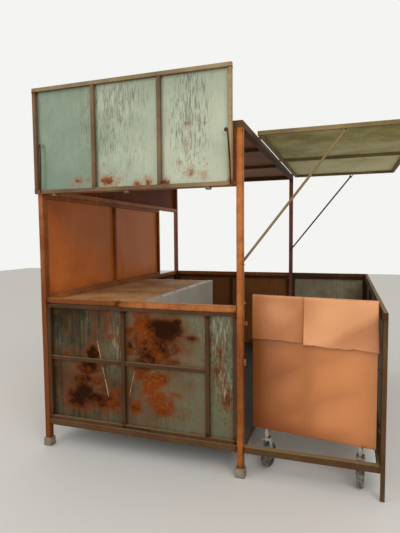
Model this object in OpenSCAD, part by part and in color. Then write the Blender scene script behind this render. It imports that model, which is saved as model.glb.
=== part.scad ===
// Street kiosk welded from square tube and sheet: a roofed selling bay with a raised
// serving flap, an open side bay shaded by a propped side shutter, and a castor gate.
// Sizes are in millimetres. Measurements run from the outer front left corner at ground level.

/* [Plan] */
// Outer width of the roofed selling bay
stall_w = 1440; // [1300:10:1700]
// Width of the open side bay beyond it
side_bay_w = 800; // [760:10:1000]
// Outer depth, front to back
depth = 2540; // [2440:10:2900]

/* [Levels] */
// Thickness of the masonry blocks under the posts
block_h = 60; // [40:5:100]
// Underside of the base rails
base_z = 160; // [150:5:200]
// Top of the sill rails round the bays
sill_top = 1060; // [1000:10:1090]
// Underside of the header rails
header_z = 1775; // [1700:5:1850]
// Top of the roof frame
roof_z = 2150; // [2110:10:2300]

/* [Sections] */
// Side of the square tube in posts, base, sills and headers
tube = 40; // [35:1:45]
// Side of the small square tube in the panel frames
bar = 25; // [20:1:28]
// Thickness of the sheet metal
skin = 1.2; // [1:0.1:2]
// Thickness of the floor plate
floor_t = 2; // [1.5:0.5:4]
// Leg width of the angle at the side bay's corners
angle_w = 25; // [20:1:30]
// Thickness of that angle
angle_t = 3; // [2:0.5:5]

/* [Serving flap] */
// Width of the flap
flap_w = 1380; // [1250:5:1385]
// Height of the flap
flap_h = 700; // [650:5:705]
// Distance of the hinge line in front of the posts
flap_standoff = 22; // [20:1:30]
// Gap between the hinge line and the nearest frame bar
hinge_gap = 10; // [9:0.5:14]
// Diameter of the stay rods on the flap
stay_d = 5; // [4:0.5:6]

/* [Side shutter] */
// Length of the raised shutter from its hinge side to its free edge
shutter_l = 1008; // [900:4:1010]
// Setback of its near edge from the front
shutter_setback = 300; // [250:5:400]
// Gap between its far edge and the back of the kiosk
shutter_back_gap = 50; // [50:5:100]
// Distance of the hinge line from the posts
shutter_standoff = 18; // [18:1:30]
// Diameter of the prop rods
prop_d = 16; // [12:1:20]
// Height of the prop brackets on the posts
prop_foot_z = 1324; // [1250:5:1400]
// Distance of the prop heads from the shutter's hinge line
prop_reach = 560; // [500:5:620]

/* [Castor gate] */
// Width of the gate from its hinge line
gate_w = 700; // [600:5:705]
// Top of the gate
gate_top = 1110; // [1000:5:1112]
// Underside of the gate sheet
gate_bottom = 255; // [225:5:300]
// Angle by which the gate stands ajar
gate_ajar = 8; // [0:1:20]
// Height of the two loose apron sheets
apron_h = 285; // [200:5:330]
// Width of the left apron sheet
apron_split = 322; // [250:2:400]
// Diameter of the castor wheels
wheel_d = 150; // [100:5:160]
// Tread width of the castor wheels
wheel_w = 40; // [24:2:50]
// Trail of the castor wheels behind the swivel
trail = 25; // [20:1:40]

/* [Inner counter] */
// Width of the counter inside the left wall
counter_w = 700; // [600:10:760]
// Length of the counter from the front
counter_l = 1640; // [1400:10:1800]
// Drop of the counter board's top below the sill rails
counter_drop = 24; // [12:2:60]
// Thickness of the counter board
board_t = 18; // [12:1:25]

/* [Hidden] */

// Colours
ORANGE = "#9c5a32";
MAROON = "#5c2a20";
RUST = "#6b4a33";
ZINC = "#8f9480";
KHAKI = "#a08a5a";
GREY = "#9a9c98";
DARK = "#3c3a38";

// Overall places
total_w = stall_w + side_bay_w;
block_over = 10;
front_inset = 4;
panel_z = base_z + tube;
sill_z = sill_top - tube;
ring_z = roof_z - tube;
header_top = header_z + tube;

// Front sill: a thinner length of tube butts the full one with a weld gap
sill_joint_x = 592;
sill_joint_gap = 4;
sill_thin = 32;

// Front lower panel: uprights as shares of the clear width
front_clear = stall_w - 2 * tube;
front_uprights = [0.431, 0.861];
front_crossbar_z = 643;
slot_l = 200;
slot_h = 14;
slot_depth = 12;
slot_x = 716;

// Left upper panel stops short of the rear post
left_upper_end = 2010;

// Flap in its raised place
flap_axis = [0, -flap_standoff, header_z - 9];
flap_x = 3;
flap_hinge_xs = [150, 690, 1230];
pin_d = 8;
pin_play = 0.5;
ear_t = 5;
ear_r = 7;
flap_ear_w = 16;
stay_knob_r = 7;
stay_knob_up = [325, 447];
stay_knob_in = [49, 33];
stay_foot_in = 48;

// Side shutter in its raised place
shutter_axis = [stall_w + shutter_standoff, 0, roof_z - bar / 2];
shutter_y0 = shutter_setback;
shutter_y1 = depth - shutter_back_gap;
shutter_hinge_ys = [shutter_y0 + 150, (shutter_y0 + shutter_y1) / 2, shutter_y1 - 150];

// Props: eyes on tilted pins under the shutter's end bars, ball feet over the post brackets
head_r = 11;
head_t = 12;
head_pin_d = 9;
tongue_w = prop_d - 6;
lug_t = 5;
head_z = roof_z - bar - 20;
near_head = [shutter_axis[0] + prop_reach - 23, shutter_y0 + bar / 2, head_z];
far_head = [shutter_axis[0] + prop_reach + 32, shutter_y1 - bar / 2, head_z];
prop_foot_x = stall_w - 15;
prop_foot_off = 20;
near_foot = [prop_foot_x, tube + prop_foot_off, prop_foot_z];
far_foot = [prop_foot_x, depth - tube - prop_foot_off, prop_foot_z];
foot_r = 10;
foot_play = 5;
bracket_t = 4;

// Gate, in its own frame: the hinge line is the origin and the gate runs towards -X
gate_axis = [total_w - 82, 98, 0];
gate_face = -14;
gate_lip = 40;
gate_stile_in = 12;
arm_w = 16;
gate_hinge_zs = [gate_bottom + 145, gate_top - 370];
knuckle_l = 40;
knuckle_r = 9;
gate_pin_d = 10;
arm_t = 6;
castor_in = [45, gate_w - 90];
castor_y = gate_face + skin + bar / 2;
castor_plate = 44;
castor_plate_t = 4;
castor_top = wheel_d + 50;
fork_t = 3;
fork_gap = 2.5;
castor_turn = [98, 83];
axle_d = 10;
axle_play = 0.25;
swivel_play = 1;

// Inner counter
counter_x = tube + 2;
counter_y = tube + 2;

// Moves the origin under the centre of the outline
reach_front = flap_standoff + bar / 2 + stay_d + stay_knob_r;
reach_right = shutter_axis[0] + hinge_gap + shutter_l;
shift = [(block_over - reach_right) / 2, (reach_front - depth - block_over) / 2, 0];

module part(tint) color(tint) translate(shift) children();

module span(lo, hi) translate(lo) cube(hi - lo);

// Rod between two points
module rod(a, b, d, fn = 24) {
    v = b - a;
    translate(a) rotate([0, acos(v[2] / norm(v)), atan2(v[1], v[0])]) cylinder(d = d, h = norm(v), $fn = fn);
}

// Welded frame of square bars in the XZ plane, its lower front corner at the origin.
// Uprights are bar centres; crossbars are [left, right, centre height].
module panel_frame(w, h, uprights = [], crossbars = []) {
    translate([0, bar, 0]) rotate([90, 0, 0]) linear_extrude(bar) {
        difference() {
            square([w, h]);
            translate([bar, bar]) square([w - 2 * bar, h - 2 * bar]);
        }
        for (x = uprights) translate([x - bar / 2, bar / 2]) square([bar, h - bar]);
        for (c = crossbars) translate([c[0], c[2] - bar / 2]) square([c[1] - c[0], bar]);
    }
}

// Turns a frame or sheet drawn along X so that it runs along Y from the given corner
module along_y(corner) translate(corner) rotate([0, 0, 90]) mirror([0, 1, 0]) children();

module base_frame() part(RUST) {
    z = [base_z, panel_z];
    for (i = [1:3]) translate([tube, (depth - bar) * i / 4, panel_z - bar]) cube([stall_w - 2 * tube, bar, bar]);
    span([tube, 0, z[0]], [stall_w - tube, tube, z[1]]);
    span([tube, depth - tube, z[0]], [stall_w - tube, depth, z[1]]);
    span([0, tube, z[0]], [tube, depth - tube, z[1]]);
    span([stall_w - tube, tube, z[0]], [stall_w, depth - tube, z[1]]);
    difference() {
        span([stall_w, 0, z[0]], [total_w, depth, z[1]]);
        span([stall_w - 1, tube, z[0] - 1], [total_w - tube, depth - tube, z[1] + 1]);
        for (y = [0, depth - angle_w]) span([total_w - angle_w, y, z[0] - 1], [total_w + 1, y + angle_w, z[1] + 1]);
    }
}

module packing_blocks() part(GREY) {
    side = tube + 2 * block_over;
    for (x = [tube / 2, stall_w - tube / 2], y = [tube / 2, depth - tube / 2])
        translate([x - side / 2, y - side / 2, 0]) cube([side, side, block_h]);
}

// Square tube post, open along its length
module post(x, y) translate([x, y, block_h]) linear_extrude(ring_z - block_h) difference() {
    square(tube);
    translate([2, 2]) square(tube - 4);
}

module front_left_post() part(ORANGE) post(0, 0);
module front_right_post() part(ORANGE) post(stall_w - tube, 0);
module rear_left_post() part(RUST) post(0, depth - tube);
module rear_right_post() part(RUST) post(stall_w - tube, depth - tube);

// Angle with its corner outwards, from the ground to the sill
module corner_angle() linear_extrude(sill_z) difference() {
    translate([-angle_w, 0]) square(angle_w);
    translate([-angle_w - 1, angle_t]) square(angle_w + 1 - angle_t);
}

module side_bay_legs() part(RUST) {
    translate([total_w, 0, 0]) corner_angle();
    translate([total_w, depth, 0]) mirror([0, 1, 0]) corner_angle();
}

module floor_plate() part(DARK) {
    wall = skin + bar + 0.5;
    difference() {
        span([wall, front_inset + wall, panel_z], [stall_w, depth - wall, panel_z + floor_t]);
        for (x = [0, stall_w - tube], y = [0, depth - tube])
            span([x - 1, y - 1, panel_z - 1], [x + tube + 0.5, y + tube + 0.5, panel_z + floor_t + 1]);
    }
}

lower_h = sill_z - panel_z;

module front_lower_frame() part(RUST) {
    ups = [for (u = front_uprights) u * front_clear];
    difference() {
        translate([tube, front_inset, panel_z])
            panel_frame(front_clear, lower_h, ups, [[bar / 2, ups[1], front_crossbar_z - panel_z]]);
        translate([slot_x - slot_l / 2 + slot_h / 2, front_inset + slot_depth, panel_z + bar / 2]) rotate([90, 0, 0])
            linear_extrude(slot_depth + 1) {
                square([slot_l - slot_h, slot_h / 2]);
                translate([0, -slot_h / 2]) square([slot_l - slot_h, slot_h]);
                for (x = [0, slot_l - slot_h]) translate([x, 0]) circle(d = slot_h, $fn = 24);
            }
    }
}

module front_lower_sheet() part(ZINC)
    span([tube, front_inset + bar, panel_z], [stall_w - tube, front_inset + bar + skin, sill_z]);

module left_lower_frame() part(RUST) {
    run = depth - 2 * tube;
    along_y([skin, tube, panel_z]) panel_frame(run, lower_h, [run / 3, run * 2 / 3]);
}

module left_lower_sheet() part(ZINC)
    span([0, tube, panel_z], [skin, depth - tube, sill_z]);

// The rear wall closes both bays, one panel on each side of the middle post
module rear_lower_frame() part(RUST) {
    left = stall_w - 2 * tube;
    right = side_bay_w - angle_w;
    translate([tube, depth - skin - bar, panel_z]) panel_frame(left, lower_h, [left / 2]);
    translate([stall_w, depth - skin - bar, panel_z]) panel_frame(right, lower_h);
}

module rear_lower_sheet() part(ZINC) {
    span([tube, depth - skin, panel_z], [stall_w - tube, depth, sill_z]);
    span([stall_w, depth - skin, panel_z], [total_w - angle_w, depth, sill_z]);
}

module bay_side_frame() part(RUST) {
    run = depth - skin - bar - angle_w;
    along_y([total_w - skin - bar, angle_w, panel_z]) panel_frame(run, lower_h, [run / 3, run * 2 / 3]);
}

module bay_side_sheet() part(ZINC)
    span([total_w - skin, angle_w, panel_z], [total_w, depth - angle_w, sill_z]);

module sill_rails() part(ORANGE) {
    span([tube, 0, sill_top - sill_thin], [sill_joint_x - sill_joint_gap / 2, tube, sill_top]);
    span([sill_joint_x + sill_joint_gap / 2, 0, sill_z], [stall_w - tube, tube, sill_top]);
    span([0, tube, sill_z], [tube, depth - tube, sill_top]);
    span([tube, depth - tube, sill_z], [stall_w - tube, depth, sill_top]);
    span([stall_w, depth - tube, sill_z], [total_w, depth, sill_top]);
    span([total_w - angle_w, 0, sill_z], [total_w, depth, sill_top]);
}

upper_h = header_z - sill_top;

module left_upper_frame() part(ORANGE) {
    run = left_upper_end - tube;
    along_y([skin, tube, sill_top]) panel_frame(run, upper_h, [run / 2]);
}

module left_upper_sheet() part(ORANGE)
    span([0, tube, sill_top], [skin, left_upper_end, header_z]);

module header_rails() part(ORANGE) {
    span([tube, 0, header_z], [stall_w - tube, tube, header_top]);
    span([0, tube, header_z], [tube, depth - tube, header_top]);
}

module fascia_sheets() part(MAROON) {
    span([tube, 0, header_top], [stall_w - tube, skin, ring_z]);
    span([0, tube, header_top], [skin, depth - tube, ring_z]);
}

module roof_frame() part(RUST) {
    difference() {
        span([0, 0, ring_z], [stall_w, depth, roof_z]);
        span([tube, tube, ring_z - 1], [stall_w - tube, depth - tube, roof_z + 1]);
    }
    for (i = [1, 2]) translate([tube - 1, depth * i / 3 - bar / 2, roof_z - bar])
        cube([stall_w - 2 * tube + 2, bar, bar]);
}

module roof_sheet() part(ZINC)
    span([0, 0, roof_z], [stall_w, depth, roof_z + skin]);

// Ear plate in the YZ plane with a rounded end on the pin, root towards +Y
module ear(reach, t) rotate([90, 0, 90]) linear_extrude(t, center = true) {
    circle(r = ear_r, $fn = 32);
    translate([0, -ear_r]) square([reach, 2 * ear_r]);
}

module flap_hinges() part(RUST) {
    side = flap_ear_w / 2 + 1 + ear_t / 2;
    for (x = flap_hinge_xs) translate([flap_x + x, 0, 0]) {
        translate(flap_axis) {
            for (s = [-side, side]) translate([s, 0, 0]) ear(flap_standoff, ear_t);
            rotate([0, 90, 0]) cylinder(d = pin_d, h = 2 * side + ear_t + 4, center = true, $fn = 32);
        }
        span([-side - ear_t, -3, flap_axis[2] - ear_r], [side + ear_t, 0, header_z + 20]);
    }
}

module shutter_hinges() part(RUST) {
    side = flap_ear_w / 2 + 1 + ear_t / 2;
    for (y = shutter_hinge_ys) translate([shutter_axis[0], y, shutter_axis[2]]) rotate([0, 0, 90]) {
        for (s = [-side, side]) translate([s, 0, 0]) ear(shutter_standoff, ear_t);
        rotate([0, 90, 0]) cylinder(d = pin_d, h = 2 * side + ear_t + 4, center = true, $fn = 32);
    }
}

module flap_frame() part(RUST) {
    low = flap_axis[2] + hinge_gap;
    difference() {
        union() {
            translate([flap_x, -flap_standoff - bar / 2, low])
                panel_frame(flap_w, flap_h, [flap_w / 3, flap_w * 2 / 3]);
            for (x = flap_hinge_xs) translate([flap_x + x, -flap_standoff, flap_axis[2]])
                rotate([90, 0, 90]) linear_extrude(flap_ear_w, center = true) {
                    circle(r = ear_r, $fn = 32);
                    translate([-ear_r, 0]) square([2 * ear_r, hinge_gap + 1]);
                }
        }
        for (x = flap_hinge_xs) translate([flap_x + x, -flap_standoff, flap_axis[2]])
            rotate([0, 90, 0]) cylinder(d = pin_d + 2 * pin_play, h = flap_ear_w + 2, center = true, $fn = 32);
    }
}

module flap_sheet() part(ZINC) {
    y = -flap_standoff + bar / 2;
    low = flap_axis[2] + hinge_gap;
    span([flap_x, y, low], [flap_x + flap_w, y + skin, low + flap_h]);
}

module flap_stays() part(RUST) {
    y = -flap_standoff - bar / 2 - stay_d / 2;
    low = flap_axis[2] + hinge_gap;
    feet = [flap_x + stay_foot_in, flap_x + flap_w - stay_foot_in + 30];
    knobs = [flap_x + stay_knob_in[0], flap_x + flap_w - stay_knob_in[1]];
    for (i = [0, 1]) {
        rod([feet[i], y, low + 4], [knobs[i], y, low + stay_knob_up[i]], stay_d);
        translate([knobs[i], y, low + stay_knob_up[i]]) rotate([90, 0, 0])
            cylinder(r = stay_knob_r, h = stay_knob_r + stay_d / 2, $fn = 32);
    }
}

module shutter_frame() part(RUST) {
    x0 = shutter_axis[0] + hinge_gap;
    run = shutter_y1 - shutter_y0;
    difference() {
        union() {
            translate([x0, shutter_y0, roof_z - bar]) linear_extrude(bar) {
                difference() {
                    square([shutter_l, run]);
                    translate([bar, bar]) square([shutter_l - 2 * bar, run - 2 * bar]);
                }
                translate([bar / 2, (run - bar) / 2]) square([shutter_l - bar, bar]);
            }
            for (y = shutter_hinge_ys) translate([shutter_axis[0], y, shutter_axis[2]])
                rotate([90, 0, 0]) linear_extrude(flap_ear_w, center = true) {
                    circle(r = ear_r, $fn = 32);
                    translate([0, -ear_r]) square([hinge_gap + 1, 2 * ear_r]);
                }
            prop_lugs(near_head, near_foot);
            prop_lugs(far_head, far_foot);
        }
        for (y = shutter_hinge_ys) translate([shutter_axis[0], y, shutter_axis[2]])
            rotate([90, 0, 0]) cylinder(d = pin_d + 2 * pin_play, h = flap_ear_w + 2, center = true, $fn = 32);
    }
}

module shutter_sheet() part(ZINC) {
    x0 = shutter_axis[0] + hinge_gap;
    span([x0, shutter_y0, roof_z], [x0 + shutter_l, shutter_y1, roof_z + skin]);
}

// Turns Z onto the pin of a prop, square to the rod and to Y
module on_prop_pin(head, foot) translate(head)
    rotate([0, atan2(head[2] - foot[2], foot[0] - head[0]), 0]) children();

// Two lugs with their pin, cut level with the underside of the shutter's bar
module prop_lugs(head, foot) intersection() {
    on_prop_pin(head, foot) {
        for (s = [-1, 1]) translate([0, 0, s * (head_t + lug_t + 2) / 2]) linear_extrude(lug_t, center = true) {
            circle(r = head_r, $fn = 32);
            translate([-50, -head_r]) square([50, 2 * head_r]);
        }
        cylinder(d = head_pin_d, h = head_t + 2 * lug_t + 8, center = true, $fn = 32);
    }
    span(head - [60, 60, 60], [head[0] + 60, head[1] + 60, roof_z - bar + 0.5]);
}

// Prop rod with an eye at its head and a knob at its foot
module prop(head, foot) {
    v = head - foot;
    l = norm(v);
    on_prop_pin(head, foot) linear_extrude(head_t, center = true) difference() {
        union() {
            circle(r = head_r, $fn = 32);
            rotate(acos(v[1] / l) - 90) translate([0, -tongue_w / 2]) square([head_r + 11, tongue_w]);
        }
        circle(d = head_pin_d + 2 * pin_play, $fn = 32);
    }
    translate(foot) rotate([0, acos(v[2] / l), atan2(v[1], v[0])]) rotate_extrude($fn = 32)
        polygon(concat([[0, foot_r * sin(-67.5)]], [for (a = [-67.5:22.5:22.5]) foot_r * [cos(a), sin(a)]],
            [[prop_d / 2, foot_r * 0.6], [prop_d / 2, l - head_r - 5], [0, l - head_r - 5]]));
}

module near_prop() part(KHAKI) prop(near_head, near_foot);
module far_prop() part(DARK) prop(far_head, far_foot);

// Shelf bracket under a prop foot, padlock hasp and catch plates on the front right post
module post_brackets() part(ORANGE) {
    top = prop_foot_z - foot_r - foot_play;
    for (f = [[near_foot, 0], [far_foot, 1]]) {
        y0 = f[1] == 0 ? tube : depth - tube - prop_foot_off - foot_r;
        y1 = f[1] == 0 ? tube + prop_foot_off + foot_r : depth - tube;
        wall = f[1] == 0 ? [y0, y0 + bracket_t] : [y1 - bracket_t, y1];
        span([stall_w - 28, y0, top - bracket_t], [stall_w - 2, y1, top]);
        span([stall_w - 28, wall[0], top - 30], [stall_w - 2, wall[1], top]);
    }
    translate([stall_w, tube / 2, sill_top - 104]) rotate([90, 0, 0]) linear_extrude(bracket_t, center = true) difference() {
        union() {
            translate([0, -8]) square([12, 16]);
            translate([12, 0]) circle(d = 22, $fn = 32);
        }
        translate([13, 0]) circle(d = 11, $fn = 32);
    }
    span([stall_w, 8, sill_top - 360], [stall_w + 16, 8 + bracket_t, sill_top - 320]);
    span([stall_w, 4, sill_top + 15], [stall_w + 12, 16, sill_top + 27]);
}

// Bent arms from the side bay's front corner, round behind the sheet, to the gate's hinge pins
module gate_hinges() part(RUST) {
    stile_x = total_w - skin - bar;
    y = gate_axis[1] - arm_w / 2;
    for (z = gate_hinge_zs) {
        translate([0, 0, z - knuckle_l / 2 - 1 - arm_t]) linear_extrude(arm_t) {
            translate([stile_x - arm_w / 2, angle_w + 2]) square([arm_w / 2, y + arm_w - angle_w - 2]);
            translate([gate_axis[0], y]) square([stile_x - gate_axis[0], arm_w]);
            translate([gate_axis[0], gate_axis[1]]) circle(r = knuckle_r, $fn = 32);
        }
        translate([gate_axis[0], gate_axis[1], z - knuckle_l / 2 - 2])
            cylinder(d = gate_pin_d, h = knuckle_l + 8, $fn = 32);
    }
}

// Carries a piece drawn in the gate's own frame to the gate's place, standing ajar
module on_gate() translate(gate_axis) rotate([0, 0, -gate_ajar]) children();

module gate_frame() part(RUST) on_gate() difference() {
    w = gate_w - gate_stile_in;
    union() {
        translate([-gate_w, gate_face + skin, gate_bottom])
            panel_frame(w, gate_top - gate_bottom, [gate_w / 2], [[bar / 2, w - bar / 2, gate_top - gate_bottom - apron_h]]);
        for (z = gate_hinge_zs) {
            translate([0, 0, z - knuckle_l / 2]) cylinder(r = knuckle_r, h = knuckle_l, $fn = 32);
            span([-gate_stile_in - 1, -6, z - knuckle_l / 2], [-4, 6, z + knuckle_l / 2]);
        }
        for (r = castor_in) {
            span([-r - bar / 2, castor_y - bar / 2, castor_top], [-r + bar / 2, castor_y + bar / 2, gate_bottom + 1]);
            span([-r - castor_plate / 2, castor_y - castor_plate / 2, castor_top - castor_plate_t],
                [-r + castor_plate / 2, castor_y + castor_plate / 2, castor_top]);
            translate([-r, castor_y, castor_top - castor_plate_t - 14]) cylinder(d = 14, h = 15, $fn = 32);
        }
    }
    for (z = gate_hinge_zs) translate([0, 0, z - knuckle_l / 2 - 1])
        cylinder(d = gate_pin_d + 2 * pin_play, h = knuckle_l + 2, $fn = 32);
}

module gate_panel() part(ORANGE) on_gate()
    span([-gate_w, gate_face, gate_bottom], [gate_lip, gate_face + skin, gate_top]);

// Two overlapping sheets hung from the gate's top edge, their lower edges standing off
module apron(x0, x1, h, lean) translate([x0, gate_face - 0.3, gate_top])
    rotate([-lean, 0, 0]) translate([0, -skin, -h]) cube([x1 - x0, skin, h]);

module gate_aprons() part(ORANGE) on_gate() {
    apron(-gate_w - 2, -gate_w + apron_split, apron_h - 10, 1.2);
    apron(-gate_w + apron_split + 2, gate_lip, apron_h, 3.5);
}

// Castor places in the gate's own frame, each turned about its swivel
module at_castor(i) on_gate() translate([-castor_in[i], castor_y, 0]) rotate([0, 0, castor_turn[i]]) children();

module castor_fork(i) at_castor(i) {
    r = wheel_d / 2;
    inner = wheel_w / 2 + fork_gap;
    top = castor_top - castor_plate_t - swivel_play;
    difference() {
        translate([0, 0, top - 10]) cylinder(d = castor_plate - 4, h = 10, $fn = 48);
        translate([0, 0, top - 15]) cylinder(d = 15, h = 20, $fn = 32);
    }
    difference() {
        translate([-castor_plate / 2 + 2, -inner - fork_t, top - 13]) cube([castor_plate - 4, 2 * (inner + fork_t), 4]);
        translate([0, 0, top - 15]) cylinder(d = 16, h = 20, $fn = 32);
    }
    for (s = [-1, 1]) translate([0, s * (inner + fork_t / 2) + fork_t / 2, 0]) rotate([90, 0, 0]) linear_extrude(fork_t) {
        polygon([[-castor_plate / 2 + 2, top - 9], [castor_plate / 2 - 2, top - 9], [trail + 9, r], [trail - 9, r]]);
        translate([trail, r]) circle(r = 9, $fn = 32);
    }
    translate([trail, 0, r]) rotate([90, 0, 0])
        cylinder(d = axle_d, h = 2 * (inner + fork_t) + 6, center = true, $fn = 32);
}

module castor_wheel(i) at_castor(i) translate([trail, 0, wheel_d / 2]) rotate([90, 0, 0]) difference() {
    rotate_extrude($fn = 64) {
        edge = 4;
        polygon([[0, -wheel_w / 2], [wheel_d / 5, -wheel_w / 2], [wheel_d / 5 + 3, -wheel_w / 4],
            [wheel_d / 2 - 16, -wheel_w / 4], [wheel_d / 2 - 13, -wheel_w / 2], [wheel_d / 2 - edge, -wheel_w / 2],
            [wheel_d / 2, -wheel_w / 2 + edge], [wheel_d / 2, wheel_w / 2 - edge], [wheel_d / 2 - edge, wheel_w / 2],
            [wheel_d / 2 - 13, wheel_w / 2], [wheel_d / 2 - 16, wheel_w / 4], [wheel_d / 5 + 3, wheel_w / 4],
            [wheel_d / 5, wheel_w / 2], [0, wheel_w / 2]]);
    }
    cylinder(d = axle_d + 2 * axle_play, h = wheel_w + 2, center = true, $fn = 32);
}

module left_castor_fork() part(ZINC) castor_fork(1);
module right_castor_fork() part(ZINC) castor_fork(0);
module left_castor_wheel() part(DARK) castor_wheel(1);
module right_castor_wheel() part(DARK) castor_wheel(0);

counter_top_z = sill_top - counter_drop;
counter_board_z = counter_top_z - board_t;
strip_w = 55;
strip_t = 2;
strip_lap = 20;
counter_floor = panel_z + floor_t;

module counter_frame() part(RUST) {
    h = counter_board_z - counter_floor;
    x1 = counter_x + counter_w - skin;
    for (x = [counter_x, x1 - bar], y = [counter_y, counter_y + counter_l / 2, counter_y + counter_l - bar])
        span([x, y, counter_floor], [x + bar, y + bar, counter_board_z - 1]);
    difference() {
        span([counter_x, counter_y, counter_board_z - bar], [x1, counter_y + counter_l, counter_board_z]);
        span([counter_x + bar, counter_y + bar, counter_board_z - bar - 1],
            [x1 - bar, counter_y + counter_l - bar, counter_board_z + 1]);
    }
}

module counter_side_sheet() part(GREY) {
    x1 = counter_x + counter_w;
    span([x1 - skin, counter_y, counter_floor], [x1, counter_y + counter_l, counter_board_z]);
}

module counter_top() part(KHAKI)
    span([counter_x, counter_y, counter_board_z], [counter_x + counter_w, counter_y + counter_l, counter_top_z]);

module counter_edge_strip() part(GREY) {
    x1 = counter_x + counter_w;
    y = [counter_y, counter_y + counter_l];
    difference() {
        span([x1 - strip_w, y[0], counter_board_z - strip_lap], [x1 + strip_t, y[1], counter_top_z + strip_t]);
        span([x1 - strip_w - 1, y[0] - 1, counter_board_z - strip_lap - 1], [x1, y[1] + 1, counter_top_z]);
    }
}

base_frame();
packing_blocks();
front_left_post();
front_right_post();
rear_left_post();
rear_right_post();
side_bay_legs();
floor_plate();
front_lower_frame();
front_lower_sheet();
left_lower_frame();
left_lower_sheet();
rear_lower_frame();
rear_lower_sheet();
bay_side_frame();
bay_side_sheet();
sill_rails();
left_upper_frame();
left_upper_sheet();
header_rails();
fascia_sheets();
roof_frame();
roof_sheet();
flap_hinges();
shutter_hinges();
gate_hinges();
post_brackets();
counter_frame();
counter_side_sheet();
counter_top();
counter_edge_strip();
flap_frame();
flap_sheet();
flap_stays();
shutter_frame();
shutter_sheet();
near_prop();
far_prop();
gate_frame();
gate_panel();
gate_aprons();
left_castor_fork();
right_castor_fork();
left_castor_wheel();
right_castor_wheel();
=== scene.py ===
"""Street kiosk of welded square tube and galvanised sheet: the looks built around its CAD frame."""

import math
from itertools import product

import bmesh
import bpy
import numpy as np
from mathutils import Matrix, Vector


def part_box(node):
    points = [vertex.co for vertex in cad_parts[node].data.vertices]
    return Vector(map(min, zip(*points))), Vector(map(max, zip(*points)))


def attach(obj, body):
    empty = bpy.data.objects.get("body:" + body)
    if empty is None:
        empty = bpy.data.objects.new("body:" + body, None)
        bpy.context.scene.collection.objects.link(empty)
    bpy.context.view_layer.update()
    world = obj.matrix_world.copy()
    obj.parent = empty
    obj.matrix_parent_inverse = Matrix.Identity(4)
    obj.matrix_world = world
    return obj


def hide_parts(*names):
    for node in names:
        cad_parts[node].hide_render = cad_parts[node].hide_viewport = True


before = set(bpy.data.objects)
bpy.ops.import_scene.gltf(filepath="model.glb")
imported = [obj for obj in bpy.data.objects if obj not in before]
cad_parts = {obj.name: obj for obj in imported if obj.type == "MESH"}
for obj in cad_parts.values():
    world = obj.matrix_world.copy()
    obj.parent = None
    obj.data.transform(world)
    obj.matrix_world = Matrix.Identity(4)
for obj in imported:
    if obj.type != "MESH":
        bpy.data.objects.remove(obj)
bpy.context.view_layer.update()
scene = bpy.context.scene

# Base
# A ring of square tube stands on concrete packing blocks under the stall and on angle legs under
# the side bay. It is mild steel, stick welded and never painted, so it has rusted to a dusty brown.


def linear(code):
    """The linear colour of an sRGB hex code."""
    parts = [int(code[i : i + 2], 16) / 255 for i in (1, 3, 5)]
    return [c / 12.92 if c <= 0.04045 else ((c + 0.055) / 1.055) ** 2.4 for c in parts] + [1]


def feed(tree, node, inputs):
    """Sets a node's inputs, given in order or by name or number. Each is a value or a socket."""
    for key, value in inputs.items() if isinstance(inputs, dict) else enumerate(inputs):
        if isinstance(value, bpy.types.NodeSocket):
            tree.links.new(value, node.inputs[key])
        else:
            node.inputs[key].default_value = value


def add(tree, kind, inputs=(), out=0, **settings):
    """Adds a shader node with its settings and what feeds its inputs, and gives one output."""
    made = tree.nodes.new("ShaderNode" + kind)
    for key, value in settings.items():
        setattr(made, key, value)
    feed(tree, made, inputs)
    return made.outputs[out]


smooth = {"interpolation_type": "SMOOTHSTEP"}
in_colour = {"data_type": "RGBA"}


def blotches(tree, place, size, detail=4, stretch=(1, 1, 1)):
    """Blotches about size millimetres across, longer along an axis whose stretch is under 1."""
    scaled = add(tree, "Mapping", {"Vector": place, "Scale": [1000 / size * s for s in stretch]})
    return add(tree, "TexNoise", {"Vector": scaled, "Scale": 1, "Detail": detail, "Roughness": 0.6})


def weighed(tree, start, *terms):
    """The sum of a start value and of each value times its weight."""
    for value, weight in terms:
        start = add(tree, "Math", [value, weight, start], operation="MULTIPLY_ADD")
    return start


def two_tone(tree, value, low, high, first, second):
    """Goes smoothly from the first colour to the second while value goes from low to high."""
    share = add(tree, "MapRange", [value, low, high], **smooth)
    return add(tree, "Mix", {0: share, 6: linear(first), 7: linear(second)}, 2, **in_colour)


def begin(name):
    """A new material with its node tree, its main shader and the object's own coordinates."""
    material = bpy.data.materials.new(name)
    material.use_nodes = True
    tree = material.node_tree
    return material, tree, tree.nodes["Principled BSDF"], add(tree, "TexCoord", out="Object")


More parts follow.
